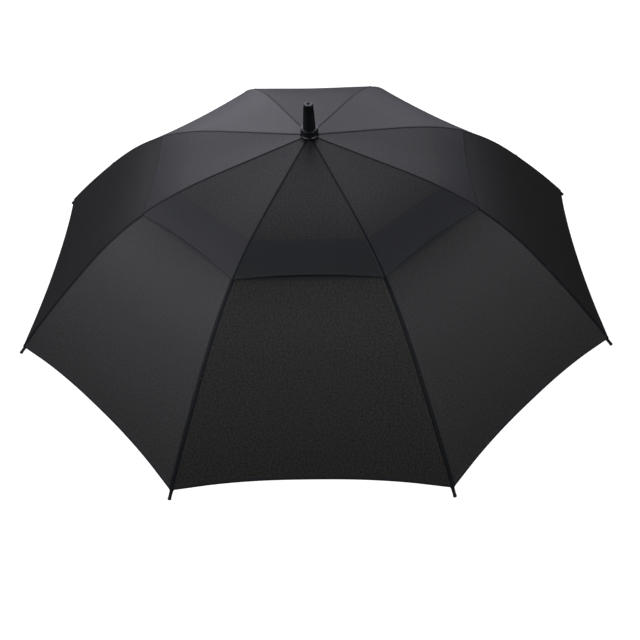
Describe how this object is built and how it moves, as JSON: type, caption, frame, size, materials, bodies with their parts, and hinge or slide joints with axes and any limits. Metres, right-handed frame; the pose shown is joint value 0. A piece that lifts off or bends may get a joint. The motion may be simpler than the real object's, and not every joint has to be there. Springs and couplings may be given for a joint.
{
  "type": "golf umbrella",
  "caption": "Open golf umbrella with a vented two-layer cover, folding ribs and stretchers, a sliding runner with an opening spring, a release button and a straight foam grip.",
  "frame": {"origin": "centre of the handle's flat butt end, on the shaft's axis", "axes": "+Z along the shaft from the handle to the ferrule; -Y is the front, at the middle of a gore"},
  "size_m": [1.1116, 1.1116, 0.96],
  "materials": {
    "cloth": "tightly woven, black",
    "fibreglass": "black fibreglass rod",
    "black_steel": "black enamel",
    "bright_steel": "zinc plated",
    "black_plastic": "satin moulding",
    "gloss_black": "polished moulding",
    "foam": "closed-cell foam"
  },
  "bodies": {
    "stick": {"shaft_tube": "black_steel", "spring_seat": "black_plastic", "crown": "black_plastic", "crown_wire": "bright_steel", "ferrule_collar": "gloss_black", "ferrule_spike": "gloss_black", "handle_core": "black_plastic", "handle_grip": "foam", "handle_collar": "black_plastic", "handle_cap": "black_plastic", "cover_upper": "cloth", "cover_lower": "cloth", "tie_strap": "cloth", "opening_spring": "bright_steel", "button_spring": "bright_steel"},
    "runner": {"runner": "black_plastic", "runner_wire": "bright_steel", "spring_plunger": "black_plastic"},
    "button": {"release_button": "gloss_black", "button_latch": "bright_steel"},
    "rib_1": {"rib_inner_1": "fibreglass", "rib_joint_1": "black_plastic"},
    "rib_end_1": {"rib_outer_1": "fibreglass", "rib_tip_1": "black_plastic"},
    "stretcher_1": {"stretcher_1": "black_steel"},
    "rib_2": {"rib_inner_2": "fibreglass", "rib_joint_2": "black_plastic"},
    "rib_end_2": {"rib_outer_2": "fibreglass", "rib_tip_2": "black_plastic"},
    "stretcher_2": {"stretcher_2": "black_steel"},
    "rib_3": {"rib_inner_3": "fibreglass", "rib_joint_3": "black_plastic"},
    "rib_end_3": {"rib_outer_3": "fibreglass", "rib_tip_3": "black_plastic"},
    "stretcher_3": {"stretcher_3": "black_steel"},
    "rib_4": {"rib_inner_4": "fibreglass", "rib_joint_4": "black_plastic"},
    "rib_end_4": {"rib_outer_4": "fibreglass", "rib_tip_4": "black_plastic"},
    "stretcher_4": {"stretcher_4": "black_steel"},
    "rib_5": {"rib_inner_5": "fibreglass", "rib_joint_5": "black_plastic"},
    "rib_end_5": {"rib_outer_5": "fibreglass", "rib_tip_5": "black_plastic"},
    "stretcher_5": {"stretcher_5": "black_steel"},
    "rib_6": {"rib_inner_6": "fibreglass", "rib_joint_6": "black_plastic"},
    "rib_end_6": {"rib_outer_6": "fibreglass", "rib_tip_6": "black_plastic"},
    "stretcher_6": {"stretcher_6": "black_steel"},
    "rib_7": {"rib_inner_7": "fibreglass", "rib_joint_7": "black_plastic"},
    "rib_end_7": {"rib_outer_7": "fibreglass", "rib_tip_7": "black_plastic"},
    "stretcher_7": {"stretcher_7": "black_steel"},
    "rib_8": {"rib_inner_8": "fibreglass", "rib_joint_8": "black_plastic"},
    "rib_end_8": {"rib_outer_8": "fibreglass", "rib_tip_8": "black_plastic"},
    "stretcher_8": {"stretcher_8": "black_steel"}
  },
  "joints": [
    {"name": "runner_slide", "type": "slide", "parent": "stick", "child": "runner", "axis": [0, 0, -1], "range_m": [0, 0.44607], "stiffness_N_per_m": 60, "springref_m": -0.25, "deforming": ["opening_spring", "cover_upper", "cover_lower", "tie_strap"]},
    {"name": "button_push", "type": "slide", "parent": "stick", "child": "button", "axis": [0, 1, 0], "range_m": [0, 0.002], "stiffness_N_per_m": 400, "springref_m": -0.003, "deforming": ["button_spring"]},
    {"name": "rib_fold_1", "type": "hinge", "parent": "stick", "child": "rib_1", "pos_m": [0.0044, -0.01063, 0.88945], "axis": [0.9239, 0.3827, 0], "range_deg": [0, 73.3]},
    {"name": "rib_flex_1", "type": "hinge", "parent": "rib_1", "child": "rib_end_1", "pos_m": [0.12648, -0.30534, 0.80918], "axis": [-0.9239, -0.3827, 0], "range_deg": [0, 23.93]},
    {"name": "stretcher_turn_1", "type": "hinge", "parent": "rib_1", "child": "stretcher_1", "pos_m": [0.12025, -0.2903, 0.80721], "axis": [-0.9239, -0.3827, 0], "range_deg": [0, 143.85]},
    {"name": "rib_fold_2", "type": "hinge", "parent": "stick", "child": "rib_2", "pos_m": [0.01063, -0.0044, 0.88945], "axis": [0.3827, 0.9239, 0], "range_deg": [0, 73.3]},
    {"name": "rib_flex_2", "type": "hinge", "parent": "rib_2", "child": "rib_end_2", "pos_m": [0.30534, -0.12648, 0.80918], "axis": [-0.3827, -0.9239, 0], "range_deg": [0, 23.93]},
    {"name": "stretcher_turn_2", "type": "hinge", "parent": "rib_2", "child": "stretcher_2", "pos_m": [0.2903, -0.12025, 0.80721], "axis": [-0.3827, -0.9239, 0], "range_deg": [0, 143.85]},
    {"name": "rib_fold_3", "type": "hinge", "parent": "stick", "child": "rib_3", "pos_m": [0.01063, 0.0044, 0.88945], "axis": [-0.3827, 0.9239, 0], "range_deg": [0, 73.3]},
    {"name": "rib_flex_3", "type": "hinge", "parent": "rib_3", "child": "rib_end_3", "pos_m": [0.30534, 0.12648, 0.80918], "axis": [0.3827, -0.9239, 0], "range_deg": [0, 23.93]},
    {"name": "stretcher_turn_3", "type": "hinge", "parent": "rib_3", "child": "stretcher_3", "pos_m": [0.2903, 0.12025, 0.80721], "axis": [0.3827, -0.9239, 0], "range_deg": [0, 143.85]},
    {"name": "rib_fold_4", "type": "hinge", "parent": "stick", "child": "rib_4", "pos_m": [0.0044, 0.01063, 0.88945], "axis": [-0.9239, 0.3827, 0], "range_deg": [0, 73.3]},
    {"name": "rib_flex_4", "type": "hinge", "parent": "rib_4", "child": "rib_end_4", "pos_m": [0.12648, 0.30534, 0.80918], "axis": [0.9239, -0.3827, 0], "range_deg": [0, 23.93]},
    {"name": "stretcher_turn_4", "type": "hinge", "parent": "rib_4", "child": "stretcher_4", "pos_m": [0.12025, 0.2903, 0.80721], "axis": [0.9239, -0.3827, 0], "range_deg": [0, 143.85]},
    {"name": "rib_fold_5", "type": "hinge", "parent": "stick", "child": "rib_5", "pos_m": [-0.0044, 0.01063, 0.88945], "axis": [-0.9239, -0.3827, 0], "range_deg": [0, 73.3]},
    {"name": "rib_flex_5", "type": "hinge", "parent": "rib_5", "child": "rib_end_5", "pos_m": [-0.12648, 0.30534, 0.80918], "axis": [0.9239, 0.3827, 0], "range_deg": [0, 23.93]},
    {"name": "stretcher_turn_5", "type": "hinge", "parent": "rib_5", "child": "stretcher_5", "pos_m": [-0.12025, 0.2903, 0.80721], "axis": [0.9239, 0.3827, 0], "range_deg": [0, 143.85]},
    {"name": "rib_fold_6", "type": "hinge", "parent": "stick", "child": "rib_6", "pos_m": [-0.01063, 0.0044, 0.88945], "axis": [-0.3827, -0.9239, 0], "range_deg": [0, 73.3]},
    {"name": "rib_flex_6", "type": "hinge", "parent": "rib_6", "child": "rib_end_6", "pos_m": [-0.30534, 0.12648, 0.80918], "axis": [0.3827, 0.9239, 0], "range_deg": [0, 23.93]},
    {"name": "stretcher_turn_6", "type": "hinge", "parent": "rib_6", "child": "stretcher_6", "pos_m": [-0.2903, 0.12025, 0.80721], "axis": [0.3827, 0.9239, 0], "range_deg": [0, 143.85]},
    {"name": "rib_fold_7", "type": "hinge", "parent": "stick", "child": "rib_7", "pos_m": [-0.01063, -0.0044, 0.88945], "axis": [0.3827, -0.9239, 0], "range_deg": [0, 73.3]},
    {"name": "rib_flex_7", "type": "hinge", "parent": "rib_7", "child": "rib_end_7", "pos_m": [-0.30534, -0.12648, 0.80918], "axis": [-0.3827, 0.9239, 0], "range_deg": [0, 23.93]},
    {"name": "stretcher_turn_7", "type": "hinge", "parent": "rib_7", "child": "stretcher_7", "pos_m": [-0.2903, -0.12025, 0.80721], "axis": [-0.3827, 0.9239, 0], "range_deg": [0, 143.85]},
    {"name": "rib_fold_8", "type": "hinge", "parent": "stick", "child": "rib_8", "pos_m": [-0.0044, -0.01063, 0.88945], "axis": [0.9239, -0.3827, 0], "range_deg": [0, 73.3]},
    {"name": "rib_flex_8", "type": "hinge", "parent": "rib_8", "child": "rib_end_8", "pos_m": [-0.12648, -0.30534, 0.80918], "axis": [-0.9239, 0.3827, 0], "range_deg": [0, 23.93]},
    {"name": "stretcher_turn_8", "type": "hinge", "parent": "rib_8", "child": "stretcher_8", "pos_m": [-0.12025, -0.2903, 0.80721], "axis": [-0.9239, 0.3827, 0], "range_deg": [0, 143.85]}
  ],
  "couplings": [
    {"joint": "rib_fold_1", "follows": "runner_slide", "rad_per_m": 2.8485},
    {"joint": "rib_flex_1", "follows": "runner_slide", "rad_per_m": 0.91689},
    {"joint": "stretcher_turn_1", "follows": "runner_slide", "rad_per_m": 5.6089},
    {"joint": "rib_fold_2", "follows": "runner_slide", "rad_per_m": 2.8485},
    {"joint": "rib_flex_2", "follows": "runner_slide", "rad_per_m": 0.91689},
    {"joint": "stretcher_turn_2", "follows": "runner_slide", "rad_per_m": 5.6089},
    {"joint": "rib_fold_3", "follows": "runner_slide", "rad_per_m": 2.8485},
    {"joint": "rib_flex_3", "follows": "runner_slide", "rad_per_m": 0.91689},
    {"joint": "stretcher_turn_3", "follows": "runner_slide", "rad_per_m": 5.6089},
    {"joint": "rib_fold_4", "follows": "runner_slide", "rad_per_m": 2.8485},
    {"joint": "rib_flex_4", "follows": "runner_slide", "rad_per_m": 0.91689},
    {"joint": "stretcher_turn_4", "follows": "runner_slide", "rad_per_m": 5.6089},
    {"joint": "rib_fold_5", "follows": "runner_slide", "rad_per_m": 2.8485},
    {"joint": "rib_flex_5", "follows": "runner_slide", "rad_per_m": 0.91689},
    {"joint": "stretcher_turn_5", "follows": "runner_slide", "rad_per_m": 5.6089},
    {"joint": "rib_fold_6", "follows": "runner_slide", "rad_per_m": 2.8485},
    {"joint": "rib_flex_6", "follows": "runner_slide", "rad_per_m": 0.91689},
    {"joint": "stretcher_turn_6", "follows": "runner_slide", "rad_per_m": 5.6089},
    {"joint": "rib_fold_7", "follows": "runner_slide", "rad_per_m": 2.8485},
    {"joint": "rib_flex_7", "follows": "runner_slide", "rad_per_m": 0.91689},
    {"joint": "stretcher_turn_7", "follows": "runner_slide", "rad_per_m": 5.6089},
    {"joint": "rib_fold_8", "follows": "runner_slide", "rad_per_m": 2.8485},
    {"joint": "rib_flex_8", "follows": "runner_slide", "rad_per_m": 0.91689},
    {"joint": "stretcher_turn_8", "follows": "runner_slide", "rad_per_m": 5.6089}
  ]
}
